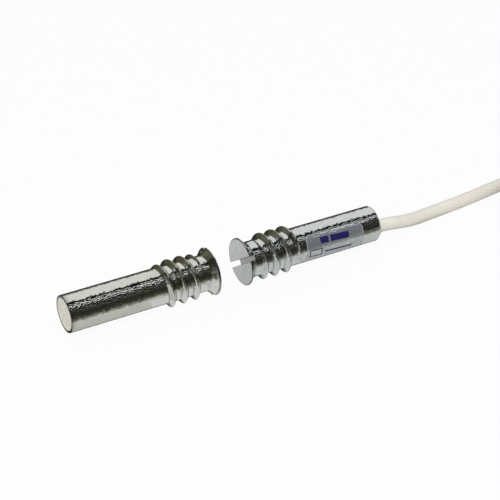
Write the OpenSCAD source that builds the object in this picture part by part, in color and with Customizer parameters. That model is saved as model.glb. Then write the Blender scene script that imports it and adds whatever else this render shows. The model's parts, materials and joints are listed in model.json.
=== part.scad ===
// Recessed magnetic contact: a turned, slotted and threaded reed contact with
// its cable, and the matching magnet unit, lying head to head on one line.
// The floor is z = 0. X runs along the common axis, from magnet to contact.

/* [Housings] */
// Length of each housing, from head face to rear face
unit_len = 33.3; // [30:0.1:40]
// Distance between the two head faces
head_gap = 7.4; // [2:0.1:15]
// Outside diameter of each barrel
barrel_d = 8; // [7:0.1:9.6]
// Thickness of the barrel wall round the bore
barrel_wall = 0.5; // [0.3:0.05:0.7]
// Thickness of solid metal behind the head face
front_wall = 3; // [2.4:0.1:4]
// Radius of the contact housing's rear edge
contact_edge_r = 0.4; // [0.1:0.05:0.45]
// Radius of the magnet housing's rear edge
magnet_edge_r = 0.1; // [0.05:0.05:0.3]

/* [Heads] */
// Diameter of the countersunk head
head_d = 10.4; // [10:0.1:12]
// Thickness of the straight rim at the head face
rim_t = 0.35; // [0.2:0.05:0.6]
// Length of the cone from the rim to the neck
cone_len = 1.3; // [0.8:0.1:2]
// Width of the screwdriver slot
slot_w = 1.15; // [0.8:0.05:1.6]
// Depth of the screwdriver slot
slot_depth = 1.7; // [1:0.1:2.2]
// Turn of the contact's slot about its axis
contact_slot_turn = 54; // [0:1:179]
// Turn of the magnet's slot about its axis
magnet_slot_turn = 25; // [0:1:179]

/* [Threads] */
// Diameter over the thread crests
thread_d = 9.95; // [9.7:0.05:10.3]
// Axial distance between neighbouring crests
thread_pitch = 2.83; // [2.2:0.01:3.4]
// Distance from the head face to the first crest
thread_start = 2.7; // [2.4:0.1:4]
// Length that the crests cover along the barrel
thread_len = 9.5; // [5:0.1:12]
// Width of the ridge at its root
ridge_w = 2; // [1.5:0.05:2.4]
// Turns over which the ridge rises out of the root, and sinks back into it
thread_run = 0.35; // [0.2:0.05:0.5]
// Depth of the neck below the plain barrel: the root tapers up from it
root_cut = 0.1; // [0.05:0.05:0.2]
// Turn of the contact's first crest about its axis
contact_thread_turn = 136; // [0:1:359]
// Turn of the magnet's first crest about its axis
magnet_thread_turn = 308; // [0:1:359]

/* [Reed switch] */
// Diameter of the glass tube
glass_d = 2.2; // [1.8:0.1:2.6]
// Length of the glass tube
glass_len = 14; // [10:0.5:15]
// Diameter of the blades' round leads
lead_d = 0.5; // [0.4:0.05:0.6]
// Length of lead that stands out of each end of the glass
lead_out = 2.9; // [2.5:0.1:3.2]
// Width of the flattened part of each blade
blade_w = 1; // [0.7:0.05:1.2]
// Thickness of the flattened part of each blade
blade_t = 0.24; // [0.15:0.01:0.3]
// Open gap between the two blades
blade_gap = 0.1; // [0.05:0.01:0.15]
// Length over which the blades overlap
blade_lap = 1.2; // [0.8:0.1:2]
// Diameter of the solder beads on the leads
bead_d = 1.4; // [1.2:0.1:1.5]

/* [Carrier and plugs] */
// Length of the moulded carrier behind the glass tube
carrier_over = 1.6; // [1.2:0.1:2]
// Length of the space for the wire joints, from the carrier to the end plug
wiring_len = 3.95; // [3.4:0.05:4.5]
// Length of the crimped joint of the tamper loop
splice_len = 2.1; // [1.5:0.1:2.3]
// Running clearance of a loose piece in its seat
seat_gap = 0.05; // [0.02:0.01:0.1]
// Depth from the rear face to the plug's outer face
plug_recess = 0.15; // [0.05:0.05:0.4]
// Length of the bar magnet
magnet_len = 25; // [15:0.5:26]
// Clearance all round the bar magnet in its bore
magnet_gap = 0.1; // [0.05:0.05:0.5]

/* [Cable] */
// Outside diameter of the cable
cable_d = 3; // [2.6:0.1:3.2]
// Distance of the cable's axis below the contact's axis
cable_drop = 1.25; // [1:0.05:1.4]
// Outside diameter of the grommet round the cable
grommet_d = 3.7; // [3.5:0.1:4]
// Length of grommet that stands out of the plug
grommet_out = 1.95; // [1:0.05:2.5]
// Length of grommet that sits in the plug
grommet_in = 2.4; // [1:0.1:2.5]
// Outside diameter of each insulated core
core_d = 0.95; // [0.8:0.05:1]
// Outside diameter of the tinned strands
strand_d = 0.55; // [0.4:0.05:0.6]

/* [Stored coil] */
// Diameter of the coil at the middle of its turns
coil_mid_d = 36; // [32:0.1:38]
// Number of turns side by side in each layer
coil_cols = 3.9; // [3:0.1:6]
// Number of layers of turns
coil_rows = 4; // [2:1:5]
// Distance between neighbouring turns
coil_pitch = 3.1; // [2.9:0.05:3.5]
// Width of each tie band
tie_w = 3; // [2:0.5:5]
// Thickness of each tie band
tie_t = 0.5; // [0.3:0.05:0.8]

/* [Hidden] */

axis_h = head_d / 2;
barrel_r = barrel_d / 2;
bore_r = barrel_r - barrel_wall;
cable_r = cable_d / 2;
core_r = core_d / 2;
thread_r = thread_d / 2;
root_r = barrel_r - root_cut;
root_end = thread_start + thread_len + ridge_w / 2;
ridge_sink = (root_r - bore_r) * 0.6;
glass_start = front_wall + 1.5 + lead_out;
glass_mid = glass_start + glass_len / 2;
lead_start = glass_start - lead_out;
lead_end = glass_start + glass_len + lead_out;
carrier_end = glass_start + glass_len + carrier_over;
carrier_len = carrier_end - front_wall;
plug_end = unit_len - plug_recess;
plug_start = carrier_end + wiring_len;
plug_len = plug_end - plug_start;
magnet_plug_start = front_wall + magnet_len + magnet_gap;
jacket_start = plug_start + 0.6;
core_x = bore_r - core_r - 0.5;
core_ring = core_r + 0.03;
splice_at = [0.9, -2.1, carrier_end + 0.05];
splice_r = 0.95;
bead_front_z = lead_start + 0.5;
bead_rear_z = lead_end - 0.5;
coil_spread = coil_cols * coil_pitch;
coil_out_r = coil_mid_d / 2 + coil_spread / 2;
coil_in_r = coil_mid_d / 2 - coil_spread / 2;
coil_hole_r = coil_in_r - cable_r;
tie_sag = coil_hole_r - sqrt(coil_hole_r * coil_hole_r - tie_w * tie_w / 4);
coil_h = (coil_rows - 1) * coil_pitch + cable_d;
coil_at = [96, -17.6, tie_t];

// Centre line of the cable on the floor, from the jacket's cut end to the coil
exit_x = head_gap / 2 + plug_end + grommet_out;
exit_z = axis_h - cable_drop;
rest_z = cable_r;
cable_route = [
    [head_gap / 2 + jacket_start, 0, exit_z],
    [head_gap / 2 + plug_end, 0, exit_z],
    [exit_x, 0, exit_z],
    [41.5, -0.1, 3.8],
    [44, 0, 3.4],
    [47, 0.4, 2.8],
    [50, 1.1, 2.2],
    [53, 1.9, 1.8],
    [56, 2.4, 1.6],
    [60, 2.9, rest_z],
    [64, 3.3, rest_z],
    [68, 3.8, rest_z],
    [72, 4.4, rest_z],
    [76, 5, rest_z],
    [79.5, 5.5, 1.5],
    [82.5, 5.9, 1.6]
];

// Centre line of the loose end, down from the top of the coil to the floor
tail_route = [
    [82.8, -41.5, 9.3],
    [80.5, -41.8, 7.9],
    [78, -42.2, 6],
    [75, -42.6, 3.9],
    [72, -43, 2.4],
    [69, -43.4, 1.7],
    [66, -43.8, rest_z],
    [62, -44.3, rest_z]
];
tail_end = tail_route[len(tail_route) - 1];

// Where the four cores of the loose end lie: sideways reach on the floor
core_spread = [-4.2, -1.4, 1.4, 4.2];
core_end_len = 13.5;
strand_len = 4;

// Rings of points joined into one closed solid
module sweep(rings) {
    n = len(rings[0]);
    last = len(rings) - 1;
    sides = [for (i = [0:last - 1]) for (k = [0:n - 1])
        [i * n + k, i * n + (k + 1) % n, (i + 1) * n + (k + 1) % n, (i + 1) * n + k]];
    start_cap = [for (k = [n - 1:-1:0]) k];
    end_cap = [for (k = [0:n - 1]) last * n + k];
    polyhedron([for (ring = rings) for (p = ring) p], concat([start_cap], sides, [end_cap]), convexity = 10);
}

function unit(v) = v / norm(v);
function heading(pts, i) = unit(pts[min(i + 1, len(pts) - 1)] - pts[max(i - 1, 0)]);
function across_of(dir) =
    let (side = cross(dir, [0, 0, 1])) norm(side) > 0.01 ? unit(side) : [0, 1, 0];
function cord_ring(c, dir, r, sides) =
    let (across = across_of(dir), up = cross(across, dir))
    [for (k = [0:sides - 1]) c + r * (cos(360 * k / sides) * across - sin(360 * k / sides) * up)];

// A round cord of radius r along a list of points
module cord(pts, r, sides = 8) {
    sweep([for (i = [0:len(pts) - 1]) cord_ring(pts[i], heading(pts, i), r, sides)]);
}

// Section of the thread ridge: distance along the axis and from it
function ridge_section(grow) =
    let (h = (thread_r - root_r) * grow, w = ridge_w / 2)
    [
        [-w, root_r - ridge_sink],
        [-w * 0.78, root_r + h * 0.24],
        [-w * 0.55, root_r + h * 0.72],
        [-w * 0.3, root_r + h],
        [w * 0.3, root_r + h],
        [w * 0.55, root_r + h * 0.72],
        [w * 0.78, root_r + h * 0.24],
        [w, root_r - ridge_sink]
    ];

// One right-hand ridge that rises out of the root and sinks back into it
module ridge(first_turn) {
    turns = thread_len / thread_pitch;
    steps = round(turns * 30);
    sweep([for (i = [0:steps])
        let (
            a = first_turn + 360 * turns * i / steps,
            z = thread_start + thread_len * i / steps,
            run = min(i, steps - i) / (30 * thread_run),
            grow = min(1, 0.14 + 0.86 * sin(90 * min(1, run)))
        )
        [for (p = ridge_section(grow)) [p[1] * cos(a), p[1] * sin(a), z + p[0]]]
    ]);
}

function edge_arc(edge_r) =
    [for (a = [0:22.5:90]) [barrel_r - edge_r + edge_r * cos(a), unit_len - edge_r + edge_r * sin(a)]];

// A slotted, countersunk and threaded housing: head face at z = 0, open at the rear
module housing(slot_turn, first_turn, edge_r) {
    difference() {
        union() {
            rotate_extrude($fn = 96)
                polygon(concat(
                    [[0, 0], [head_d / 2 - 0.08, 0], [head_d / 2, 0.08], [head_d / 2, rim_t]],
                    [[root_r, rim_t + cone_len], [barrel_r, root_end]],
                    edge_arc(edge_r),
                    [[0, unit_len]]
                ));
            ridge(first_turn);
        }
        translate([0, 0, front_wall])
            cylinder(h = unit_len, r = bore_r, $fn = 96);
        rotate([0, 0, slot_turn])
            translate([-head_d, -slot_w / 2, -1])
                cube([2 * head_d, slot_w, slot_depth + 1]);
    }
}

module on_contact() {
    translate([head_gap / 2, 0, axis_h])
        rotate([0, 90, 0])
            children();
}

module on_magnet() {
    translate([-head_gap / 2, 0, axis_h])
        rotate([0, -90, 0])
            children();
}

module contact_housing() {
    color("silver")
        on_contact()
            housing(contact_slot_turn, contact_thread_turn, contact_edge_r);
}

// Glass tube with rounded, sealed ends and a hollow middle
module reed_glass() {
    flat_r = lead_d / 2 + 0.05;
    end_r = glass_d / 2 - flat_r;
    color("honeydew")
        on_contact()
            difference() {
                translate([0, 0, glass_start])
                    rotate_extrude($fn = 48)
                        polygon(concat(
                            [[lead_d / 2, 0]],
                            [for (a = [-90:22.5:0]) [flat_r + end_r * cos(a), end_r + end_r * sin(a)]],
                            [for (a = [0:22.5:90]) [flat_r + end_r * cos(a), glass_len - end_r + end_r * sin(a)]],
                            [[lead_d / 2, glass_len]]
                        ));
                translate([0, 0, glass_start + 2])
                    cylinder(h = glass_len - 4, r = glass_d / 2 - 0.28, $fn = 48);
            }
}

// One blade: a round lead that is pressed flat inside the glass
module blade(lead_tip, flat_from, flat_to, side) {
    z0 = min(lead_tip, flat_from);
    z1 = max(lead_tip, flat_from);
    on_contact() {
        translate([0, 0, z0])
            cylinder(h = z1 - z0, r = lead_d / 2, $fn = 32);
        translate([-blade_w / 2, side > 0 ? blade_gap / 2 : -blade_gap / 2 - blade_t, min(flat_from, flat_to)])
            cube([blade_w, blade_t, abs(flat_to - flat_from)]);
    }
}

module front_blade() {
    color("gray")
        blade(lead_start, glass_start + 2.2, glass_mid + blade_lap / 2, 1);
}

module rear_blade() {
    color("gray")
        blade(lead_end, glass_start + glass_len - 2.2, glass_mid - blade_lap / 2, -1);
}

// Moulded carrier: holds the glass on the axis and guides one core past it
module reed_carrier() {
    color("ivory")
        on_contact()
            difference() {
                translate([0, 0, front_wall])
                    cylinder(h = carrier_len, r = bore_r - seat_gap, $fn = 96);
                translate([0, 0, front_wall - 1])
                    cylinder(h = carrier_len + 2, r = glass_d / 2 + seat_gap, $fn = 48);
                translate([core_x, 0, front_wall - 1])
                    cylinder(h = carrier_len + 2, r = core_r + seat_gap, $fn = 32);
                translate([core_x, -core_r - seat_gap, front_wall - 1])
                    cube([barrel_r, core_d + 2 * seat_gap, carrier_len + 2]);
                translate([-bead_d / 2 - seat_gap, -bead_d / 2 - seat_gap, front_wall - 1])
                    cube([barrel_r + bead_d, bead_d + 2 * seat_gap, glass_start - front_wall + 0.6]);
            }
}

module bead(z) {
    on_contact()
        difference() {
            translate([0, 0, z])
                sphere(r = bead_d / 2, $fn = 32);
            translate([0, 0, z - bead_d])
                cylinder(h = 2 * bead_d, r = lead_d / 2, $fn = 32);
        }
}

module front_bead() {
    color("lightgray")
        bead(bead_front_z);
}

module rear_bead() {
    color("lightgray")
        bead(bead_rear_z);
}

// Crimped joint of the two cores of the tamper loop
module tamper_splice() {
    color("black")
        on_contact()
            translate(splice_at)
                cylinder(h = splice_len, r = splice_r, $fn = 48);
}

// Turns a point of the contact's own frame into the part's frame
function from_contact(p) = [head_gap / 2 + p[2], p[1], axis_h - p[0]];
function jacket_core(dx, dy, back) =
    [cable_drop + dx * core_ring, dy * core_ring, jacket_start - 0.02 - back];

// Core from the cable, along the carrier's groove and in to the front bead
module brown_core() {
    color("saddlebrown")
        cord([for (p = [
            jacket_core(1, 1, 0),
            jacket_core(1, 1, 0.6),
            [core_x - 0.4, 0.2, plug_start - 1.4],
            [core_x, 0, carrier_end + 0.8],
            [core_x, 0, carrier_end - 1],
            [core_x, 0, glass_mid],
            [core_x, 0, bead_front_z + 1.4],
            [core_x - 0.15, 0, bead_front_z + 0.7],
            [core_x - 0.5, 0, bead_front_z + 0.2],
            [bead_d / 2 + 0.6, 0, bead_front_z],
            [bead_d / 2 + 0.02, 0, bead_front_z]
        ]) from_contact(p)], core_r);
}

// Core from the cable to the rear bead
module white_core() {
    color("white")
        cord([for (p = [
            jacket_core(-1, 1, 0),
            jacket_core(-1, 1, 0.6),
            [0.5, 0.3, plug_start - 0.8],
            [0.1, 0.05, bead_rear_z + bead_d / 2 + 0.8],
            [0, 0, bead_rear_z + bead_d / 2 + 0.4],
            [0, 0, bead_rear_z + bead_d / 2 + 0.02]
        ]) from_contact(p)], core_r * 0.9);
}

// Core from the cable to the splice, on the side that dx gives
module tamper_core(dx) {
    splice_z = splice_at[2] + splice_len;
    end_x = splice_at[0] + dx * splice_r / 2;
    cord([for (p = [
        jacket_core(dx, -1, 0),
        jacket_core(dx, -1, 0.6),
        [(cable_drop + dx * core_ring + end_x) / 2, -1.2, (splice_z + plug_start) / 2],
        [end_x, splice_at[1], splice_z + 0.4],
        [end_x, splice_at[1], splice_z + 0.02]
    ]) from_contact(p)], core_r * 0.9);
}

// Core of the tamper loop that goes out to the splice
module green_core() {
    color("green")
        tamper_core(-1);
}

// Core of the tamper loop that comes back from the splice
module yellow_core() {
    color("gold")
        tamper_core(1);
}

// End plug of the contact, bored for the cable and its grommet
module contact_plug() {
    color("beige")
        on_contact()
            difference() {
                translate([0, 0, plug_start])
                    cylinder(h = plug_len, r = bore_r, $fn = 96);
                translate([cable_drop, 0, plug_start - 1])
                    cylinder(h = plug_len + 2, r = cable_r, $fn = 64);
                translate([cable_drop, 0, plug_end - grommet_in])
                    cylinder(h = grommet_in + 1, r = grommet_d / 2, $fn = 64);
            }
}

// Short sleeve that keeps the cable from kinking where it leaves the plug
module cable_grommet() {
    out_r = grommet_d / 2;
    color("beige")
        on_contact()
            translate([cable_drop, 0, plug_end - grommet_in])
                rotate_extrude($fn = 64)
                    polygon([
                        [cable_r, 0], [out_r, 0],
                        [out_r, grommet_in + grommet_out - 0.25],
                        [out_r - 0.08, grommet_in + grommet_out - 0.08],
                        [out_r - 0.22, grommet_in + grommet_out],
                        [cable_r, grommet_in + grommet_out]
                    ]);
}

module cable() {
    color("ivory")
        cord(cable_route, cable_r);
}

// Section of the whole coil, with its corners rounded by the outermost turns
module coil_section(grow, inset) {
    r0 = coil_hole_r - grow - inset;
    r1 = coil_out_r + cable_r + grow;
    c = cable_r + grow;
    h = coil_h + 2 * grow;
    translate([0, -grow])
        polygon(concat(
            [for (a = [180:22.5:270]) [r0 + c + c * cos(a), c + c * sin(a)]],
            [for (a = [270:22.5:360]) [r1 - c + c * cos(a), c + c * sin(a)]],
            [for (a = [0:22.5:90]) [r1 - c + c * cos(a), h - c + c * sin(a)]],
            [for (a = [90:22.5:180]) [r0 + c + c * cos(a), h - c + c * sin(a)]]
        ));
}

// The length that is put away: all turns as one solid
module cable_coil() {
    color("ivory")
        translate(coil_at)
            rotate_extrude($fn = 96)
                coil_section(0, 0);
}

// Two flat bands round the coil, one on each side
module coil_ties() {
    color("dimgray")
        translate(coil_at)
            for (turn = [135, 315])
                rotate([90, 0, turn])
                    translate([0, 0, -tie_w / 2])
                        linear_extrude(tie_w)
                            difference() {
                                coil_section(tie_t, tie_sag);
                                coil_section(0.03, tie_sag);
                            }
}

module cable_tail() {
    color("ivory")
        cord(tail_route, cable_r);
}

// Where core number i lies after it leaves the jacket's cut end
function end_route(i) =
    let (dy = core_spread[i], low = i % 2 == 0)
    [
        tail_end + [-0.3, (i - 1.5) * 0.5, low ? -0.5 : 0.5],
        tail_end + [-2, (i - 1.5) * 0.7, low ? -0.7 : 0.1],
        [tail_end[0] - core_end_len * 0.33, tail_end[1] + dy * 0.45, low ? core_r : core_r + 0.3],
        [tail_end[0] - core_end_len * 0.55, tail_end[1] + dy * 0.75, core_r],
        [tail_end[0] - core_end_len * 0.78, tail_end[1] + dy * 0.93, core_r],
        [tail_end[0] - core_end_len, tail_end[1] + dy, core_r]
    ];

module core_end(i) {
    cord(end_route(i), core_r);
}

module brown_end() {
    color("saddlebrown")
        core_end(0);
}

module white_end() {
    color("white")
        core_end(1);
}

module green_end() {
    color("green")
        core_end(2);
}

module yellow_end() {
    color("gold")
        core_end(3);
}

// Bare, tinned strands that stand out of the four cores
module tinned_strands() {
    color("lightgray")
        for (i = [0:3])
            translate(end_route(i)[5])
                rotate([0, -90, 0])
                    cylinder(h = strand_len, r = strand_d / 2, $fn = 24);
}

module magnet_housing() {
    color("silver")
        on_magnet()
            housing(magnet_slot_turn, magnet_thread_turn, magnet_edge_r);
}

// Round bar magnet, seated against the front wall
module bar_magnet() {
    color("darkgray")
        on_magnet()
            translate([0, 0, front_wall])
                cylinder(h = magnet_len, r = bore_r - magnet_gap, $fn = 64);
}

// Resin plug that closes the magnet's bore
module magnet_plug() {
    color("beige")
        on_magnet()
            translate([0, 0, magnet_plug_start])
                cylinder(h = plug_end - magnet_plug_start, r = bore_r, $fn = 96);
}

contact_housing();
reed_glass();
front_blade();
rear_blade();
reed_carrier();
front_bead();
rear_bead();
tamper_splice();
brown_core();
white_core();
green_core();
yellow_core();
contact_plug();
cable_grommet();
cable();
cable_coil();
coil_ties();
cable_tail();
brown_end();
white_end();
green_end();
yellow_end();
tinned_strands();
magnet_housing();
bar_magnet();
magnet_plug();
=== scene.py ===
"""Looks of a recessed magnetic contact: a slotted reed contact with its cable, and its magnet.

The two housings, the plugs, the label film, the cable and its loose end are modelled here round
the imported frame. All lengths in the classes are millimetres, and meshes are built in metres.
"""

from __future__ import annotations

import json
import logging
import math
from dataclasses import dataclass
from enum import Enum
from functools import partial
from typing import Any, Iterable, Sequence

import bmesh
import bpy
from bpy.types import Material, Mesh, NodeSocket, NodeTree, Object
from mathutils import Matrix, Vector

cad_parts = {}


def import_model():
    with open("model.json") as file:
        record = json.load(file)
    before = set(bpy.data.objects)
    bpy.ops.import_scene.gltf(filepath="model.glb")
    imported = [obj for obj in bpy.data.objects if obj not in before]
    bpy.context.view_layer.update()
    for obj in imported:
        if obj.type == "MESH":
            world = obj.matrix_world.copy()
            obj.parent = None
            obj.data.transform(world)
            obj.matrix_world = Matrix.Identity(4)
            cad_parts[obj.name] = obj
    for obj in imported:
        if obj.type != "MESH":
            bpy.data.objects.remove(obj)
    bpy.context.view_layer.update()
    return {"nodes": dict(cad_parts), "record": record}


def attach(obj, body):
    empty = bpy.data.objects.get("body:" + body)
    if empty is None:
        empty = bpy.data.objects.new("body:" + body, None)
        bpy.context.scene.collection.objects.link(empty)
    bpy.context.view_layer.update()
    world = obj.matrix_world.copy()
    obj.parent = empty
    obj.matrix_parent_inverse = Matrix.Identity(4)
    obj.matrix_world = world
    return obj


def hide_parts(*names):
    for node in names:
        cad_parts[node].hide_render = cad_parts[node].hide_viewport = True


LOG = logging.getLogger("magnetic_contact")
MM = 0.001
ON_AXIS = 1e-6  # A smaller radius closes on a lathe's axis
CURVE_STEPS = 12  # Fine steps between two points of a spline
FAR = 2000.0  # Half the length of the long studio cards
WALL_R = 600.0  # Radius of the studio's walls
WHITE = (1.0, 1.0, 1.0, 1.0)
Point = tuple[float, float, float]
Pair = tuple[float, float]
Stops = Sequence[tuple[float, str]]


class Body(Enum):
    """The bodies that pieces ride on."""

    CONTACT = "contact"
    MAGNET = "magnet"


def hex_linear(code: str) -> tuple[float, float, float, float]:
    """Turns an sRGB hex colour into linear values.

    Args:
        code: Colour such as "#c8cac4".

    Returns:
        Linear red, green, blue and alpha.
    """
    parts = [int(code[i : i + 2], 16) / 255 for i in (1, 3, 5)]
    linear = [c / 12.92 if c <= 0.04045 else ((c + 0.055) / 1.055) ** 2.4 for c in parts]
    return (linear[0], linear[1], linear[2], 1.0)


def fill(tree: NodeTree, node: Any, inputs: dict) -> None:
    """Sets or links a node's inputs.

    Args:
        tree: Tree that the node is in.
        node: The node.
        inputs: Socket name or number to a value or to another node's output socket.
    """
    for key, value in inputs.items():
        if isinstance(value, NodeSocket):
            tree.links.new(value, node.inputs[key])
        else:
            node.inputs[key].default_value = value


def add_node(tree: NodeTree, kind: str, inputs: dict | None = None, **settings: Any) -> Any:
    """Adds a node, sets its options and fills its inputs.

    Args:
        tree: Tree that the node goes into.
        kind: Blender's name of the node type.
        inputs: Socket name or number to a value or to another node's output socket.
        **settings: Options of the node, such as operation.

    Returns:
        The new node.
    """
    node = tree.nodes.new(kind)
    for name, value in settings.items():
        setattr(node, name, value)
    fill(tree, node, inputs or {})
    return node


def add_math(tree: NodeTree, operation: str, *values: Any, clamp: bool = False) -> Any:
    """Adds one step of arithmetic and gives its result."""
    given = dict(enumerate(values))
    return add_node(tree, "ShaderNodeMath", given, operation=operation, use_clamp=clamp).outputs[0]


def add_vector_math(tree: NodeTree, operation: str, *values: Any) -> Any:
    """Adds one step of vector arithmetic and gives its result."""
    given = dict(enumerate(values))
    return add_node(tree, "ShaderNodeVectorMath", given, operation=operation).outputs[0]


def add_range(tree: NodeTree, value: Any, low: Any, high: Any, start: float = 0.0, end: float = 1.0) -> Any:
    """Maps a value, so that its start gives the low result and its end the high one."""
    ends = {"Value": value, "From Min": start, "From Max": end, "To Min": low, "To Max": high}
    return add_node(tree, "ShaderNodeMapRange", ends).outputs[0]


def add_ramp(tree: NodeTree, source: Any, stops: Stops) -> Any:
    """Adds a colour ramp that is driven by a socket.

    Args:
        tree: Tree that the ramp goes into.
        source: Socket that drives the ramp.
        stops: Positions and hex colours, in rising order.

    Returns:
        The ramp's colour output.
    """
    ramp = add_node(tree, "ShaderNodeValToRGB", {0: source})
    band = ramp.color_ramp.elements
    for end in (0, -1):
        band[end].position, band[end].color = stops[end][0], hex_linear(stops[end][1])
    for position, code in stops[1:-1]:
        band.new(position).color = hex_linear(code)
    return ramp.outputs["Color"]


def add_blend(tree: NodeTree, factor: Any, first: Any, second: Any) -> Any:
    """Mixes two colours and gives the result."""
    inputs = {"Factor": factor, "A": first, "B": second}
    return add_node(tree, "ShaderNodeMix", inputs, data_type="RGBA").outputs["Result"]


def add_place(tree: NodeTree, cell_mm: float) -> Any:
    """Object coordinates in which one unit is a cell of a pattern.

    Args:
        tree: Tree that the nodes go into.
        cell_mm: Size of a cell in millimetres.

    Returns:
        The vector.
    """
    place = add_node(tree, "ShaderNodeTexCoord").outputs["Object"]
    scale = [1 / cell_mm / MM] * 3
    return add_node(tree, "ShaderNodeMapping", {"Vector": place, "Scale": scale}).outputs[0]


def add_noise(tree: NodeTree, cell_mm: float, detail: float = 2.0) -> Any:
    """Adds noise over Object coordinates, by the size of its cells, and gives its value."""
    inputs = {"Vector": add_place(tree, cell_mm), "Scale": 1.0, "Detail": detail}
    return add_node(tree, "ShaderNodeTexNoise", inputs).outputs["Fac"]


def add_bump(tree: NodeTree, height: Any, depth_mm: float, strength: float) -> Any:
    """Adds a bump and gives its normal."""
    inputs = {"Height": height, "Strength": strength, "Distance": depth_mm * MM}
    return add_node(tree, "ShaderNodeBump", inputs).outputs[0]


def add_chart(tree: NodeTree, name: str) -> Any:
    """The two parts of a UV map, as outputs 0 and 1."""
    chart = add_node(tree, "ShaderNodeUVMap", uv_map=name).outputs[0]
    return add_node(tree, "ShaderNodeSeparateXYZ", {0: chart}).outputs


def new_material(name: str) -> tuple[Material, Any, Any]:
    """Starts a node-based material.

    Args:
        name: The real material's name.

    Returns:
        The material, its tree and its Principled node.
    """
    material = bpy.data.materials.new(name)
    material.use_nodes = True
    tree = material.node_tree
    return material, tree, tree.nodes["Principled BSDF"]


@dataclass(frozen=True)
class Finish:
    """The finish of one real material."""

    name: str

    def build(self) -> Material:
        """Makes the material.

        Returns:
            The material.
        """
        material, tree, shader = new_material(self.name)
        fill(tree, shader, self.surface(tree))
        return material

    def surface(self, tree: NodeTree) -> dict[str, Any]:
        """Adds the nodes of the finish and gives the shader's inputs."""
        raise NotImplementedError


@dataclass(frozen=True)
class NickelPlate(Finish):
    """Bright nickel plate over a machined body.

    Barrel plating leaves it bright but not flat: small crystals each tilt their own way, so a narrow
    lamp breaks into sparks in it, and an even pale reflection stays even. The crystals are drawn
    about 0.5 mm wide, coarser than real ones, to show. A stored attribute marks where shade is
    painted into the colour as a dark grey: at the ridges' feet, on the slot's floor and along the
    rim and the rear edge, for the shade and dark reflections there.
    """

    pale: str = "#cfcfc8"
    shade: str = "#c6c7c1"
    # Dark grey painted in as shade at the ridges' feet, the slot's floor and the rim and rear edges
    painted_shade_tone: str = "#4e504d"
    painted_shade_roughness: float = 0.25
    crystal_mm: float = 0.5
    tilt: float = 0.1
    wave_mm: float = 1.6
    wave_depth_mm: float = 0.02
    roughness: float = 0.07

    def surface(self, tree: NodeTree) -> dict[str, Any]:
        """Tilts the normal crystal by crystal, and paints shade into the colour where the attribute marks
        it.

        Args:
            tree: The material's tree.

        Returns:
            The shader's inputs.
        """
        inputs = {"Vector": add_place(tree, self.crystal_mm), "Scale": 1.0}
        crystals = add_node(tree, "ShaderNodeTexVoronoi", inputs).outputs["Color"]
        waves = add_noise(tree, self.wave_mm)
        # The stored attribute is painted shade: it blends in the dark grey tone and adds roughness
        painted_shade = add_node(tree, "ShaderNodeAttribute", attribute_name="painted_shade").outputs["Fac"]
        plate = add_ramp(tree, waves, [(0.3, self.shade), (0.6, self.pale)])
        rough = add_range(tree, waves, self.roughness - 0.03, self.roughness + 0.05)
        wavy = add_bump(tree, waves, self.wave_depth_mm, 1.0)
        lean = add_vector_math(tree, "SUBTRACT", crystals, (0.5, 0.5, 0.5))
        lean = add_vector_math(tree, "MULTIPLY_ADD", lean, (self.tilt,) * 3, wavy)
        return {
            "Metallic": 1.0,
            "Base Color": add_blend(tree, painted_shade, plate, hex_linear(self.painted_shade_tone)),
            "Roughness": add_math(tree, "MULTIPLY_ADD", painted_shade, self.painted_shade_roughness, rough),
            "Normal": add_vector_math(tree, "NORMALIZE", lean),
        }


@dataclass(frozen=True)
class SoftPlastic(Finish):
    """A moulded, cast or extruded plastic: an even colour with a faint cloud and a fine skin."""

    colour: str
    shade: str
    roughness: float
    cloud_mm: float = 2.5
    skin_mm: float = 0.2
    skin_depth_mm: float = 0.01
    subsurface: float = 0.0
    subsurface_mm: float = 0.6

    def surface(self, tree: NodeTree) -> dict[str, Any]:
        """Clouds the colour and gives the skin its fine grain.

        Args:
            tree: The material's tree.

        Returns:
            The shader's inputs.
        """
        cloud = add_noise(tree, self.cloud_mm, 3.0)
        skin = add_noise(tree, self.skin_mm)
        return {
            "Base Color": add_ramp(tree, cloud, [(0.32, self.shade), (0.62, self.colour)]),
            "Roughness": add_range(tree, skin, self.roughness - 0.05, self.roughness + 0.07),
            "Normal": add_bump(tree, skin, self.skin_depth_mm, 0.5),
            "Subsurface Weight": self.subsurface,
            "Subsurface Scale": self.subsurface_mm * MM,
        }


@dataclass(frozen=True)
class WhiteMetal(Finish):
    """Solder, tinned strands or blade alloy: a plain pale metal with a soft, drawn skin."""

    colour: str
    shade: str
    roughness: float
    skin_mm: float = 0.15
    skin_depth_mm: float = 0.01

    def surface(self, tree: NodeTree) -> dict[str, Any]:
        """Clouds the colour over a fine skin.

        Args:
            tree: The material's tree.

        Returns:
            The shader's inputs.
        """
        skin = add_noise(tree, self.skin_mm, 3.0)
        return {
            "Metallic": 1.0,
            "Base Color": add_ramp(tree, skin, [(0.3, self.shade), (0.65, self.colour)]),
            "Roughness": self.roughness,
            "Normal": add_bump(tree, skin, self.skin_depth_mm, 0.3),
        }


@dataclass(frozen=True)
class TubeGlass(Finish):
    """Clear tube glass with a faint green tint, as reed tubes are drawn from."""

    colour: str = "#dcefe6"
    pale: str = "#e8f5ee"
    cloud_mm: float = 2 / 3

    def surface(self, tree: NodeTree) -> dict[str, Any]:
        """Tints the glass unevenly.

        Args:
            tree: The material's tree.

        Returns:
            The shader's inputs.
        """
        cloud = add_noise(tree, self.cloud_mm)
        return {
            "Base Color": add_ramp(tree, cloud, [(0.3, self.colour), (0.7, self.pale)]),
            "Roughness": 0.03,
            "Transmission Weight": 1.0,
            "IOR": 1.5,
        }


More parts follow.
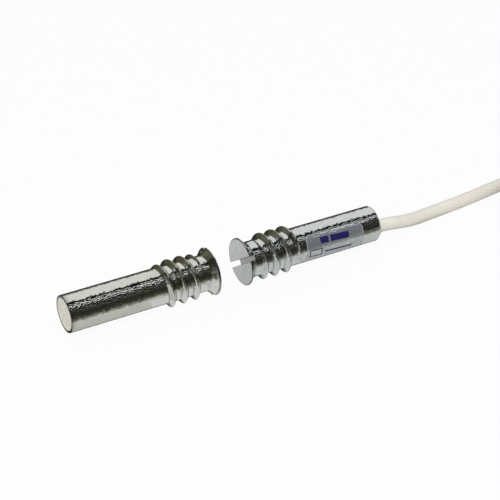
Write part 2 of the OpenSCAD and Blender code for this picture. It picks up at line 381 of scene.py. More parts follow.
@dataclass(frozen=True)
class ClearFilm(Finish):
    """Clear polyester film with plain dark bars, no lettering, and a paler cut edge.

    A bar is its span along the film and its span round it, both as shares of the film.
    """

    tint: str = "#c8cad6"
    ink: str = "#25235a"
    edge_mm: Pair = (0.12, 0.24)
    bars: tuple[tuple[float, float, float, float], ...] = (
        (0.24, 0.38, 0.08, 0.19),
        (0.42, 0.74, 0.08, 0.19),
        (0.32, 0.8, 0.34, 0.37),
        (0.05, 0.27, 0.27, 0.285),
        (0.05, 0.27, 0.395, 0.41),
        (0.05, 0.065, 0.27, 0.41),
        (0.255, 0.27, 0.27, 0.41),
    )

    def surface(self, tree: NodeTree) -> dict[str, Any]:
        """Prints the bars and makes the cut edge less clear.

        The UV map "film" runs 0 to 1 along and round the film, and "rim" holds the distance from
        the film's edge in millimetres.

        Args:
            tree: The material's tree.

        Returns:
            The shader's inputs.
        """
        calc = partial(add_math, tree)
        film = add_chart(tree, "film")
        print_mask: Any = 0.0
        for low_u, high_u, low_v, high_v in self.bars:
            along = calc("COMPARE", film[0], (low_u + high_u) / 2, (high_u - low_u) / 2)
            across = calc("COMPARE", film[1], (low_v + high_v) / 2, (high_v - low_v) / 2)
            print_mask = calc("MAXIMUM", print_mask, calc("MULTIPLY", along, across))
        body = add_range(tree, add_chart(tree, "rim")[0], 0.4, 0.13, *self.edge_mm)
        return {
            "Base Color": add_blend(tree, print_mask, hex_linear(self.tint), hex_linear(self.ink)),
            "Alpha": add_range(tree, print_mask, body, 0.92),
            "Roughness": 0.12,
        }


def add_piece(name: str, mesh: Mesh) -> Object:
    """Puts a mesh into the scene as a piece at the origin.

    Args:
        name: Name of the piece.
        mesh: Its mesh.

    Returns:
        The new object.
    """
    piece = bpy.data.objects.new(name, mesh)
    bpy.context.scene.collection.objects.link(piece)
    return piece


def build_mesh(name: str, points: Iterable[Sequence[float]], faces: Sequence[Sequence[int]]) -> Object:
    """Makes an object at the origin from points in millimetres.

    Args:
        name: Name of the piece.
        points: Corners in millimetres, in the row frame or a unit's own frame.
        faces: Corner numbers of each face, turning so that faces point outwards.

    Returns:
        The new object, linked to the scene.
    """
    mesh = bpy.data.meshes.new(name)
    mesh.from_pydata([[c * MM for c in p] for p in points], [], [list(f) for f in faces])
    mesh.update()
    return add_piece(name, mesh)


def grid_faces(rows: int, wide: int, ring: bool = False, loop: bool = False) -> list[list[int]]:
    """Faces over a grid of points that are listed row by row.

    Args:
        rows: Number of rows.
        wide: Points in a row.
        ring: Whether each row closes on itself.
        loop: Whether the last row is joined to the first.

    Returns:
        Corner numbers of each face.
    """
    return [
        [i * wide + k, i * wide + (k + 1) % wide, n * wide + (k + 1) % wide, n * wide + k]
        for i in range(rows if loop else rows - 1)
        for n in [(i + 1) % rows]
        for k in range(wide if ring else wide - 1)
    ]


def end_caps(rows: int, wide: int) -> list[list[int]]:
    """The two faces that close a grid of closed rows at its ends."""
    last = (rows - 1) * wide
    return [list(range(wide - 1, -1, -1)), list(range(last, last + wide))]


def add_uv(piece: Object, name: str, values: Sequence[Pair]) -> None:
    """Gives a piece a UV map with one value for each of its points.

    Args:
        piece: The piece.
        name: Name of the map.
        values: Values in the order of its points.
    """
    chart = piece.data.uv_layers.new(name=name)
    for loop in piece.data.loops:
        chart.data[loop.index].uv = values[loop.vertex_index]


def smooth(piece: Object, sharp_deg: float = 40.0) -> None:
    """Shades a piece smooth, with edges over an angle kept sharp."""
    piece.data.shade_smooth()
    piece.data.set_sharp_from_angle(angle=math.radians(sharp_deg))


def face_outwards(piece: Object) -> None:
    """Turns all faces of a closed piece outwards.

    Args:
        piece: The piece.
    """
    fix = bmesh.new()
    fix.from_mesh(piece.data)
    bmesh.ops.recalc_face_normals(fix, faces=fix.faces)
    fix.to_mesh(piece.data)
    fix.free()


def dress(piece: Object, material: Material, body: Body) -> None:
    """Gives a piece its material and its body.

    Args:
        piece: The piece to dress.
        material: Its finish.
        body: The body that it rides on.
    """
    piece.data.materials.clear()
    piece.data.materials.append(material)
    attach(piece, body.value)
    LOG.info("%s: %d faces, %s, on %s", piece.name, len(piece.data.polygons), material.name, body.value)


def join(name: str, pieces: Sequence[Object]) -> Object:
    """Joins plain meshes into one piece.

    Args:
        name: Name of the piece.
        pieces: Objects at the origin, which are removed.

    Returns:
        The joined piece.
    """
    whole = bmesh.new()
    for piece in pieces:
        whole.from_mesh(piece.data)
        bpy.data.objects.remove(piece, do_unlink=True)
    mesh = bpy.data.meshes.new(name)
    whole.to_mesh(mesh)
    whole.free()
    return add_piece(name, mesh)


def keep_result(piece: Object) -> None:
    """Replaces a piece's mesh by its evaluated one and removes its modifiers.

    Args:
        piece: The piece with its modifiers.
    """
    bpy.context.view_layer.update()
    graph = bpy.context.evaluated_depsgraph_get()
    old = piece.data
    made = bpy.data.meshes.new_from_object(piece.evaluated_get(graph))
    piece.modifiers.clear()
    piece.data = made
    bpy.data.meshes.remove(old)
    made.name = piece.name


def lathe(name: str, profile: Sequence[Pair], columns: int) -> Object:
    """Turns a closed profile about Z.

    Args:
        name: Name of the piece.
        profile: Pairs of radius and height in millimetres. A radius of 0 closes on the axis.
        columns: Number of faces round the axis.

    Returns:
        The turned piece in its own frame.
    """
    points: list[Point] = []
    rows: list[list[int]] = []
    for r, z in profile:
        count = columns if r > ON_AXIS else 1
        rows.append(list(range(len(points), len(points) + count)))
        turns = [2 * math.pi * k / columns for k in range(count)]
        points += [(r * math.cos(a), r * math.sin(a), z) for a in turns]
    pairs = list(zip(rows, rows[1:]))
    if profile[0][0] > ON_AXIS:
        pairs.append((rows[-1], rows[0]))
    faces: list[list[int]] = []
    for low, high in pairs:
        for k in range(columns):
            n = (k + 1) % columns
            if len(low) == len(high) == 1:
                continue
            if len(low) == 1:
                faces.append([low[0], high[n], high[k]])
            elif len(high) == 1:
                faces.append([low[k], low[n], high[0]])
            else:
                faces.append([low[k], low[n], high[n], high[k]])
    return build_mesh(name, points, faces)


def arc(cr: float, cz: float, r: float, start: float, end: float, steps: int) -> list[Pair]:
    """Radius and height along an arc round (cr, cz), by its angles in degrees from outwards."""
    angles = [math.radians(start + (end - start) * i / steps) for i in range(steps + 1)]
    return [(cr + r * math.cos(a), cz + r * math.sin(a)) for a in angles]


@dataclass(frozen=True)
class Placing:
    """Where a unit's own frame lies: head face at its origin, +Z from the head to the rear."""

    head_x: float
    forward: int
    axis_h: float = 5.2

    def apply(self, piece: Object) -> None:
        """Moves a piece's mesh to its place, and leaves the object at the origin.

        Args:
            piece: A piece made in the unit's own frame.
        """
        s = self.forward
        turn = Matrix(((0, 0, s, 0), (0, 1, 0, 0), (-s, 0, 0, 0), (0, 0, 0, 1)))
        piece.data.transform(Matrix.Translation(Vector((self.head_x, 0, self.axis_h)) * MM) @ turn)
        piece.data.update()


class ThreadNodes:
    """Geometry Nodes that raise a helical ridge on a turned blank.

    The ridge has straight flanks, a rounded crest and a filleted root. It grows out of the blank
    over the run-out at both ends, and behind the head it is turned away along a cone, the relief.
    """

    SIZES = ("Pitch", "Height", "Width", "Start", "Length", "First turn", "Run out", "Relief", "Rim", "Rear")
    BORE_SIDE = 3.6  # Points within this radius belong to the bore and stay
    CREST, FILLET = 0.25, 0.14  # Rounding of crest and root, against half the width and the height
    LEAST_HALF, MORE_HALF = 0.22, 0.28  # Half the ridge's width at its tip, and what it gains
    RELIEF_SLOPE = 1.2
    FOOT_LINE, FOOT_DULL = 0.2, 0.6  # Width of the painted shade line at the ridge's foot, and its strength
    RIM_EDGE, REAR_EDGE = 0.24, 0.14  # Reach of the painted dark edges at the rim and the rear
    RIM_BAND = (0.14, 0.23)  # Band round the rim, from the face, which the painted dark edge leaves bright
    RIM_FADE, BAND_FADE, REAR_FADE = 10 / MM, 20 / MM, 9 / MM  # How quickly a painted dark edge sets in
    BAND_CORE = 0.95  # How much of the bright band stays wholly bright

    def __init__(self) -> None:
        """Builds the node group once."""
        self.group = bpy.data.node_groups.new("coarse_thread", "GeometryNodeTree")
        face = self.group.interface
        face.new_socket("Blank", in_out="INPUT", socket_type="NodeSocketGeometry")
        for name in self.SIZES:
            face.new_socket(name, in_out="INPUT", socket_type="NodeSocketFloat")
        face.new_socket("Finish", in_out="INPUT", socket_type="NodeSocketMaterial")
        face.new_socket("Housing", in_out="OUTPUT", socket_type="NodeSocketGeometry")
        self._nodes()

    def _nodes(self) -> None:
        """Moves each point of the blank out by the ridge's height above it."""
        tree = self.group
        calc, turn_calc = partial(add_math, tree), partial(add_vector_math, tree)
        given = add_node(tree, "NodeGroupInput").outputs
        place = add_node(tree, "GeometryNodeInputPosition").outputs[0]
        split = add_node(tree, "ShaderNodeSeparateXYZ", {0: place}).outputs

        # How far each point lies from the middle of the nearest turn, and how full the ridge is there
        turn = calc("DIVIDE", calc("ARCTAN2", split["Y"], split["X"]), 2 * math.pi)
        turn = calc("SUBTRACT", turn, calc("DIVIDE", given["First turn"], 360.0))
        along = calc("DIVIDE", calc("SUBTRACT", split["Z"], given["Start"]), given["Pitch"])
        on_helix = calc("ADD", calc("ROUND", calc("SUBTRACT", along, turn)), turn)
        apart = calc("MULTIPLY", calc("ABSOLUTE", calc("SUBTRACT", along, on_helix)), given["Pitch"])
        turns = calc("DIVIDE", given["Length"], given["Pitch"])
        to_end = calc("MINIMUM", on_helix, calc("SUBTRACT", turns, on_helix))
        grow = calc("DIVIDE", to_end, given["Run out"], clamp=True)
        eased = calc("SINE", calc("MULTIPLY", grow, math.pi / 2))

        # The ridge's section
        half = calc("ADD", self.LEAST_HALF, calc("MULTIPLY", eased, self.MORE_HALF))
        across = calc("DIVIDE", apart, calc("MULTIPLY", given["Width"], half))
        slope = math.sqrt(1 + self.CREST**2) - self.CREST
        fall = calc("SQRT", calc("MULTIPLY_ADD", across, across, self.CREST**2))
        flank = calc("DIVIDE", calc("SUBTRACT", self.CREST + slope, fall), slope)
        over = calc("SQRT", calc("MULTIPLY_ADD", flank, flank, self.FILLET**2))
        section = calc("MULTIPLY", calc("ADD", flank, over), 0.5)
        lift = calc("MULTIPLY", calc("MULTIPLY", section, eased), given["Height"])
        free = calc("MAXIMUM", calc("SUBTRACT", split["Z"], given["Relief"]), 0.0)
        lift = calc("MINIMUM", lift, calc("MULTIPLY", free, self.RELIEF_SLOPE))

        # The move outwards, of the points outside the bore
        outward = turn_calc("NORMALIZE", turn_calc("MULTIPLY", place, (1.0, 1.0, 0.0)))
        inputs = {0: outward, "Scale": lift}
        offset = add_node(tree, "ShaderNodeVectorMath", inputs, operation="SCALE").outputs[0]
        flat = add_node(tree, "ShaderNodeCombineXYZ", {"X": split["X"], "Y": split["Y"]}).outputs[0]
        radius = add_node(tree, "ShaderNodeVectorMath", {0: flat}, operation="LENGTH").outputs["Value"]
        inputs = {"A": radius, "B": self.BORE_SIDE * MM}
        outside = add_node(tree, "FunctionNodeCompare", inputs, data_type="FLOAT", operation="GREATER_THAN")
        inputs = {"Geometry": given["Blank"], "Selection": outside.outputs[0], "Offset": offset}
        moved = add_node(tree, "GeometryNodeSetPosition", inputs)

        # Painted shade: dark lines at the ridge's foot, the rim and the rear edge, stored for the plate's
        # colour
        from_foot = calc("ABSOLUTE", calc("SUBTRACT", across, 1.0))
        corner = calc("SUBTRACT", 1.0, calc("DIVIDE", from_foot, self.FOOT_LINE), clamp=True)
        corner = calc("MULTIPLY", corner, calc("MULTIPLY", eased, self.FOOT_DULL))
        corner = calc("MULTIPLY", corner, outside.outputs[0])
        corner = calc("MULTIPLY", corner, calc("MULTIPLY", free, self.RIM_FADE, clamp=True))
        past_rim = calc("SUBTRACT", radius, calc("SUBTRACT", given["Rim"], self.RIM_EDGE * MM))
        off_band = calc("ABSOLUTE", calc("SUBTRACT", split["Z"], sum(self.RIM_BAND) / 2 * MM))
        off_band = calc("SUBTRACT", calc("MULTIPLY", off_band, self.BAND_FADE), self.BAND_CORE, clamp=True)
        past_rear = calc("SUBTRACT", split["Z"], calc("SUBTRACT", given["Rear"], self.REAR_EDGE * MM))
        rim = calc("MULTIPLY", calc("MULTIPLY", past_rim, self.RIM_FADE, clamp=True), off_band)
        edges = calc("MAXIMUM", rim, calc("MULTIPLY", past_rear, self.REAR_FADE, clamp=True))
        inputs = {"Geometry": moved.outputs[0], "Name": "painted_shade", "Value": calc("MAXIMUM", corner, edges)}
        store = {"data_type": "FLOAT", "domain": "POINT"}
        marked = add_node(tree, "GeometryNodeStoreNamedAttribute", inputs, **store)
        real = add_node(tree, "GeometryNodeRealizeInstances", {0: marked.outputs[0]})
        inputs = {"Geometry": real.outputs[0], "Material": given["Finish"]}
        done = add_node(tree, "GeometryNodeSetMaterial", inputs)
        add_node(tree, "NodeGroupOutput", {0: done.outputs[0]})

    def apply(self, piece: Object, values: dict[str, Any]) -> None:
        """Runs the group on a piece and keeps the result as its plain mesh.

        Args:
            piece: The turned blank.
            values: Input name to value.
        """
        modifier = piece.modifiers.new("thread", "NODES")
        modifier.node_group = self.group
        for item in self.group.interface.items_tree:
            if item.in_out == "INPUT" and item.name in values:
                modifier[item.identifier] = values[item.name]
        keep_result(piece)


@dataclass
class Housing:
    """A turned housing with a countersunk, slotted head and a coarse thread."""

    name: str
    node: str
    body: Body
    placing: Placing
    slot_turn: float
    thread_turn: float
    edge_r: float
    relief: float
    unit_len: float = 33.3
    barrel_r: float = 4.0
    bore_r: float = 3.5
    bore_edge: float = 0.05
    front_wall: float = 3.0
    head_r: float = 5.2
    rim_t: float = 0.35
    rim_edge: float = 0.1
    rim_back_edge: float = 0.07
    face_rings: Pair = (0.25, 0.18)
    cone_len: float = 1.3
    neck_fillet: float = 0.08
    slot_w: float = 1.15
    slot_depth: float = 1.7
    slot_bevel: float = 0.06
    slot_corner: float = 0.08
    # Strength of the shade painted on the slot's floor, and in its corners
    slot_floor_painted_shade: float = 0.4
    slot_corner_painted_shade: float = 0.9
    root_cut: float = 0.1
    crest_r: float = 4.97
    pitch: float = 2.83
    thread_start: float = 2.7
    thread_len: float = 9.5
    ridge_w: float = 1.7
    run_out: float = 0.35
    row_step: float = 0.055
    end_part: float = 1.0
    columns: int = 240

    def profile(self) -> list[Pair]:
        """The closed section: face, rim, cone, root, barrel, rear edge, bore.

        Rings inside the rim, on it and at the rear edge keep the painted dark edges narrow.

        Returns:
            Pairs of radius and height.
        """
        rim, back, neck_r = self.rim_edge, self.rim_back_edge, self.barrel_r - self.root_cut
        points = [(0.0, 0.0)] + [(self.head_r * k / 6, 0.0) for k in range(1, 6)]
        points += [(self.head_r - inset, 0.0) for inset in self.face_rings]
        points += arc(self.head_r - rim, rim, rim, -90, 0, 4)
        points += [(self.head_r, z) for z in ThreadNodes.RIM_BAND]
        points += arc(self.head_r - back, self.rim_t - back, back, 0, 45, 3)
        top, foot = self.head_r - rim, neck_r + self.neck_fillet
        cone_end = self.cone_len / 1.1
        points += [(top + (foot - top) * k / 6, self.rim_t + cone_end * k / 6) for k in range(1, 7)]
        neck_z = self.rim_t + self.cone_len
        points += [(neck_r + 0.02, neck_z)]
        points += self.threaded_part(neck_r, neck_z)
        last = points[-1][1]
        rear = self.unit_len - self.edge_r
        plain = self.unit_len - self.end_part
        points += [(self.barrel_r, last + (plain - last) * k / 6) for k in range(1, 7)]
        points += arc(self.barrel_r - self.edge_r, rear, self.edge_r, 0, 90, 6)
        points += [(self.bore_r + self.bore_edge, self.unit_len)]
        points += [(self.bore_r, self.unit_len - self.bore_edge)]
        return points + [(self.bore_r, plain), (self.bore_r, self.front_wall), (0.0, self.front_wall)]

    def threaded_part(self, neck_r: float, neck_z: float) -> list[Pair]:
        """Close rows from the neck to just past the thread, which widen from the neck to the barrel.

        Args:
            neck_r: Radius of the neck.
            neck_z: Height of the neck.

        Returns:
            Pairs of radius and height.
        """
        root_end = self.thread_start + self.thread_len + 1.0
        first, last = neck_z + 0.04, root_end + 0.3
        steps = round((last - first) / self.row_step)
        rows = [first + (last - first) * i / steps for i in range(steps + 1)]
        shares = [min(1.0, max(0.0, (z - neck_z) / (root_end - neck_z))) for z in rows]
        return [(neck_r + self.root_cut * share, z) for share, z in zip(shares, rows)]

    def cut_slot(self, piece: Object) -> None:
        """Cuts the screwdriver slot right across the head, with a small bevel at the face.

        Args:
            piece: The threaded piece in its own frame.
        """
        half, bevel, floor = self.slot_w / 2, self.slot_bevel, self.slot_depth
        reach, spill, corner = self.head_r * 1.5, 0.5, self.slot_corner
        right = [(half + bevel + spill, -spill), (half, bevel)]
        right += [(half, floor - corner), (half - corner, floor)]
        section = [(-y, z) for y, z in right[:1]] + right + [(-y, z) for y, z in right[:0:-1]]
        wide = len(section)
        points = [(x, y, z) for x in (-reach, reach) for y, z in section]
        cutter = build_mesh("slot_cutter", points, grid_faces(2, wide, ring=True) + end_caps(2, wide))
        cutter.data.transform(Matrix.Rotation(math.radians(self.slot_turn), 4, "Z"))
        face_outwards(cutter)
        cut = piece.modifiers.new("slot", "BOOLEAN")
        cut.operation = "DIFFERENCE"
        cut.solver = "EXACT"
        cut.object = cutter
        keep_result(piece)
        bpy.data.objects.remove(cutter, do_unlink=True)

    def paint_slot_shade(self, piece: Object) -> None:
        """Paints shade on the slot's floor, and darker shade in its corners.

        Args:
            piece: The slotted piece in its own frame.
        """
        back = Matrix.Rotation(-math.radians(self.slot_turn), 4, "Z")
        # Painted shade on the slot's floor, for the shadow that falls there
        painted_shade = piece.data.attributes["painted_shade"].data
        half = self.slot_w / 2
        for vertex in piece.data.vertices:
            place = (back @ vertex.co) / MM
            if abs(place.y) < half + 0.01 and -0.1 < place.z - self.slot_depth < 0.01:
                at_wall = abs(place.y) > half - self.slot_corner / 2
                painted_shade[vertex.index].value = self.slot_corner_painted_shade if at_wall else self.slot_floor_painted_shade

    def build(self, thread: ThreadNodes, finish: Material) -> None:
        """Makes the housing and puts it in the place of its node.

        Args:
            thread: The thread's node group.
            finish: The plated finish.
        """
        piece = lathe(self.name, self.profile(), self.columns)
        lengths = {
            "Pitch": self.pitch,
            "Height": self.crest_r - self.barrel_r + self.root_cut * 0.5,
            "Width": self.ridge_w,
            "Start": self.thread_start,
            "Length": self.thread_len,
            "Relief": self.relief,
            "Rim": self.head_r,
            "Rear": self.unit_len,
        }
        values: dict[str, Any] = {key: length * MM for key, length in lengths.items()}
        values |= {"First turn": self.thread_turn, "Run out": self.run_out, "Finish": finish}
        thread.apply(piece, values)
        self.cut_slot(piece)
        self.paint_slot_shade(piece)
        self.placing.apply(piece)
        smooth(piece, 32)
        dress(piece, finish, self.body)
        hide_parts(self.node)


@dataclass
class Plugs:
    """The cream plug that closes the magnet's bore, and the sleeve round the cable."""

    contact: Placing
    magnet: Placing
    bore_r: float = 3.5
    unit_len: float = 33.3
    recess: float = 0.15
    meniscus: float = 0.12
    seat_gap: float = 0.01
    cable_r: float = 1.5
    cable_drop: float = 1.25
    grommet_r: float = 1.85
    grommet_in: float = 2.4
    grommet_out: float = 1.95
    grommet_rim: float = 0.15
    grommet_lip: float = 0.1
    grommet_end: float = 1.2
    cable_gap: float = 0.005
    magnet_start: float = 28.1

    def magnet_plug(self, finish: Material) -> None:
        """Cast resin in the magnet's bore, a little dished and creeping up the wall.

        Args:
            finish: The resin's finish.
        """
        face, edge_r = self.unit_len - self.recess, self.bore_r - self.seat_gap
        profile = [(0.0, self.magnet_start), (edge_r, self.magnet_start), (edge_r, face + self.meniscus)]
        for share in (k / 8 for k in range(1, 8)):
            profile.append((edge_r * (1 - share**1.3), face + self.meniscus * (1 - share) ** 3))
        piece = lathe("magnet_end_plug", profile + [(0.0, face)], 96)
        self.magnet.apply(piece)
        smooth(piece)
        dress(piece, finish, Body.MAGNET)
        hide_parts("magnet_plug")

    def grommet(self, finish: Material) -> None:
        """Soft sleeve round the cable, with a rounded rim.

        Args:
            finish: The sleeve's finish.
        """
        low = self.unit_len - self.recess - self.grommet_in
        high = self.unit_len - self.recess + self.grommet_out
        rim, lip, outer = self.grommet_rim, self.grommet_lip, self.grommet_r - self.seat_gap
        hole = self.cable_r + self.cable_gap
        profile = [(hole, low), (outer, low), (outer, high - self.grommet_end)]
        profile += arc(outer - rim, high - rim, rim, 0, 90, 5)
        profile += arc(hole + lip, high - lip, lip, 90, 180, 3)
        piece = lathe("cable_sleeve", profile, 64)
        piece.data.transform(Matrix.Translation((self.cable_drop * MM, 0, 0)))
        self.contact.apply(piece)
        smooth(piece)
        dress(piece, finish, Body.CONTACT)
        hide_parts("cable_grommet")


@dataclass
class LabelFilm:
    """The clear film stuck round part of the contact's barrel."""

    placing: Placing
    barrel_r: float = 4.0
    stand_off: float = 0.008
    thickness: float = 0.045
    start: float = 14.4
    length: float = 14.3
    turn: float = 213.5
    wrap: float = 185.0
    skew: float = 11.0
    skew_along: float = 0.6
    corner_r: float = 0.9
    columns: int = 60

    def rows(self) -> list[float]:
        """Distances of the rows from the film's front edge, closer together in the rounded corners.

        Returns:
            The distances in rising order.
        """
        ends = [self.corner_r * share for share in (0.0, 0.06, 0.16, 0.32, 0.52, 0.75, 1.0)]
        middle = [self.corner_r + (self.length - 2 * self.corner_r) * k / 16 for k in range(1, 16)]
        return ends + middle + [self.length - s for s in reversed(ends)]

    def faces(self, wide: int, rows: int) -> list[list[int]]:
        """Faces of the slab: its outer and inner skin, its two sides and its two ends.

        Args:
            wide: Points in a row.
            rows: Rows in a skin.

        Returns:
            Corner numbers of each face.
        """
        layer, last = wide * rows, wide * (rows - 1)
        skin = grid_faces(rows, wide)
        faces = [[layer + c for c in face] for face in skin] + [face[::-1] for face in skin]
        for row in range(0, last, wide):
            for a, way in ((row, 1), (row + wide - 1, -1)):
                faces.append([a, layer + a, layer + a + wide, a + wide][::way])
        for k in range(wide - 1):
            for a, way in ((k, 1), (last + k, -1)):
                faces.append([a + 1, layer + a + 1, layer + a, a][::way])
        return faces

    def build(self, finish: Material) -> None:
        """Makes the film as a thin curved slab with its own UV maps.

        Args:
            finish: The film's finish.
        """
        rows, wide = self.rows(), self.columns + 1
        arc_len = math.radians(self.wrap) * self.barrel_r
        points: list[Point] = []
        film_uv: list[Pair] = []
        rim_uv: list[Pair] = []
        for r in (self.barrel_r + self.stand_off, self.barrel_r + self.thickness):
            for s in rows:
                end = min(s, self.length - s)
                bite = max(0.0, self.corner_r - end)
                inset = self.corner_r - math.sqrt(self.corner_r**2 - bite**2)
                for k in range(wide):
                    t = inset + (arc_len - 2 * inset) * k / self.columns
                    u, v = s / self.length, t / arc_len
                    a = math.radians(self.turn + self.wrap * v + self.skew * u)
                    points.append((r * math.cos(a), r * math.sin(a), self.start + s - self.skew_along * v))
                    film_uv.append((u, v))
                    rim_uv.append((min(end, t - inset, arc_len - inset - t), 0.0))
        piece = build_mesh("clear_label", points, self.faces(wide, len(rows)))
        add_uv(piece, "film", film_uv)
        add_uv(piece, "rim", rim_uv)
        self.placing.apply(piece)
        smooth(piece)
        dress(piece, finish, Body.CONTACT)


def spline(points: Sequence[Sequence[float]], step: float) -> list[Vector]:
    """A smooth line through points, as evenly spaced points.

    Args:
        points: Points that the line passes through.
        step: Distance between the points returned.

    Returns:
        Points along the line, with both ends kept.
    """
    knots = [Vector(p) for p in points]
    knots = [knots[0] * 2 - knots[1]] + knots + [knots[-1] * 2 - knots[-2]]
    fine: list[Vector] = []
    for p0, p1, p2, p3 in zip(knots, knots[1:], knots[2:], knots[3:]):
        slope, bend, twist = p2 - p0, 2 * p0 - 5 * p1 + 4 * p2 - p3, 3 * p1 - p0 - 3 * p2 + p3
        for t in (k / CURVE_STEPS for k in range(CURVE_STEPS)):
            fine.append(0.5 * (2 * p1 + slope * t + bend * t * t + twist * t * t * t))
    fine.append(knots[-2])
    even = [fine[0]]
    carried = 0.0
    for a, b in zip(fine, fine[1:]):
        gap = (b - a).length
        while carried + gap >= step:
            a = a.lerp(b, (step - carried) / gap)
            gap = (b - a).length
            carried = 0.0
            even.append(a.copy())
        carried += gap
    # A last step much shorter than the others is taken into the one before it
    if (even[-1] - fine[-1]).length > 0.3 * step:
        even.append(fine[-1])
    else:
        even[-1] = fine[-1]
    return even


def line_length(points: Sequence[Vector]) -> float:
    """Length of a line of points."""
    return sum((b - a).length for a, b in zip(points, points[1:]))


def tube(name: str, points: Sequence[Vector], radius: float, sides: int, end_edge: float = 0.0) -> Object:
    """Sweeps a round section along a line, without twist.

    Args:
        name: Name of the piece.
        points: The line in millimetres.
        radius: Radius of the section in millimetres.
        sides: Number of faces round it.
        end_edge: How much narrower both cut ends are.

    Returns:
        The swept piece.
    """
    count = len(points)
    heads = [(points[min(i + 1, count - 1)] - points[max(i - 1, 0)]).normalized() for i in range(count)]
    side = heads[0].orthogonal().normalized()
    corners: list[Vector] = []
    for i, (p, head) in enumerate(zip(points, heads)):
        side = (side - head * side.dot(head)).normalized()
        up = head.cross(side)
        r = radius - end_edge if i in (0, count - 1) else radius
        for k in range(sides):
            a = 2 * math.pi * k / sides
            corners.append(p + r * (math.cos(a) * side + math.sin(a) * up))
    return build_mesh(name, corners, grid_faces(count, sides, ring=True) + end_caps(count, sides))


@dataclass
class Cable:
    """The whole cable: out of the contact, along the floor, into the stored coil and out again."""

    radius: float = 1.5
    sides: int = 14
    exit_x: float = 38.8
    exit_z: float = 3.95
    start_inside: float = 3.0
    coil_x: float = 96.0
    coil_y: float = -17.6
    coil_z: float = 0.5
    mid_r: float = 18.0
    columns: float = 3.9
    layers: int = 4
    pitch: float = 3.1
    climb_turns: float = 0.3
    climb_steps: int = 9
    route: tuple[Point, ...] = (
        (38.8, 0, 3.95), (41.5, -0.1, 3.8), (44, 0, 3.4), (47, 0.4, 2.8), (50, 1.1, 2.2),
        (53, 1.9, 1.8), (56, 2.4, 1.6), (60, 2.9, 1.5), (64, 3.3, 1.5), (68, 3.8, 1.5), (72, 4.4, 1.5),
        (76, 5, 1.5), (79.5, 5.5, 1.5), (82.5, 5.9, 1.6), (87, 6.2, 1.8), (91.5, 6.36, 1.95),
    )
    tail: tuple[Point, ...] = (
        (92, -41.55, 11.2), (88, -41.5, 10.8), (85, -41.5, 10.1), (82.8, -41.5, 9.3),
        (80.5, -41.8, 7.9), (78, -42.2, 6), (75, -42.6, 3.9), (72, -43, 2.4),
        (69, -43.4, 1.7), (66, -43.8, 1.5), (62, -44.3, 1.5),
    )

    def coil_points(self, per_turn: int = 30) -> list[Point]:
        """The coil's turns: each layer winds in or out, then climbs by one diameter.

        Args:
            per_turn: Points in one turn.

        Returns:
            The points, from the lowest layer up.
        """
        spread = self.columns * self.pitch
        outer, inner = self.mid_r + spread / 2, self.mid_r - spread / 2
        points: list[Point] = []
        turned, z = 0.0, self.coil_z + self.radius
        steps = round(self.columns * per_turn)
        for layer in range(self.layers):
            start, end = (outer, inner) if layer % 2 == 0 else (inner, outer)
            for share in (i / steps for i in range(steps + 1)):
                points.append(self._on_coil(start + (end - start) * share, turned + self.columns * share, z))
            turned += self.columns
            if layer == self.layers - 1:
                break
            for share in (i / self.climb_steps for i in range(1, self.climb_steps)):
                eased = share * share * (3 - 2 * share)
                points.append(self._on_coil(end, turned + self.climb_turns * share, z + self.pitch * eased))
            turned += self.climb_turns
            z += self.pitch
        return points

    def _on_coil(self, r: float, turned: float, z: float) -> Point:
        """A point of the coil after so many clockwise turns from its +Y side."""
        a = math.pi / 2 - 2 * math.pi * turned
        return (self.coil_x + r * math.cos(a), self.coil_y + r * math.sin(a), z)

    def line(self) -> list[Vector]:
        """The whole centre line, from inside the sleeve to the jacket's cut end."""
        inside = [(self.exit_x - self.start_inside, 0.0, self.exit_z), (self.exit_x - 1.5, 0.0, self.exit_z)]
        return spline(inside + list(self.route) + self.coil_points() + list(self.tail), 1.0)

    def build(self, finish: Material, with_pieces: list) -> None:
        """Args:
            finish: The jacket's finish.
            with_pieces: Pieces that lie on the cable; not used.
        """
        points = self.line()
        piece = tube("four_core_cable", points, self.radius, self.sides)
        rings = [(k / self.sides, i / len(points)) for i in range(len(points)) for k in range(self.sides)]
        add_uv(piece, "cable", rings)
        smooth(piece, 50)
        dress(piece, finish, Body.CONTACT)
        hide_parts("cable", "cable_coil", "cable_tail")
        LOG.info("cable: %.0f mm outside the sleeve", line_length(points) - self.start_inside)


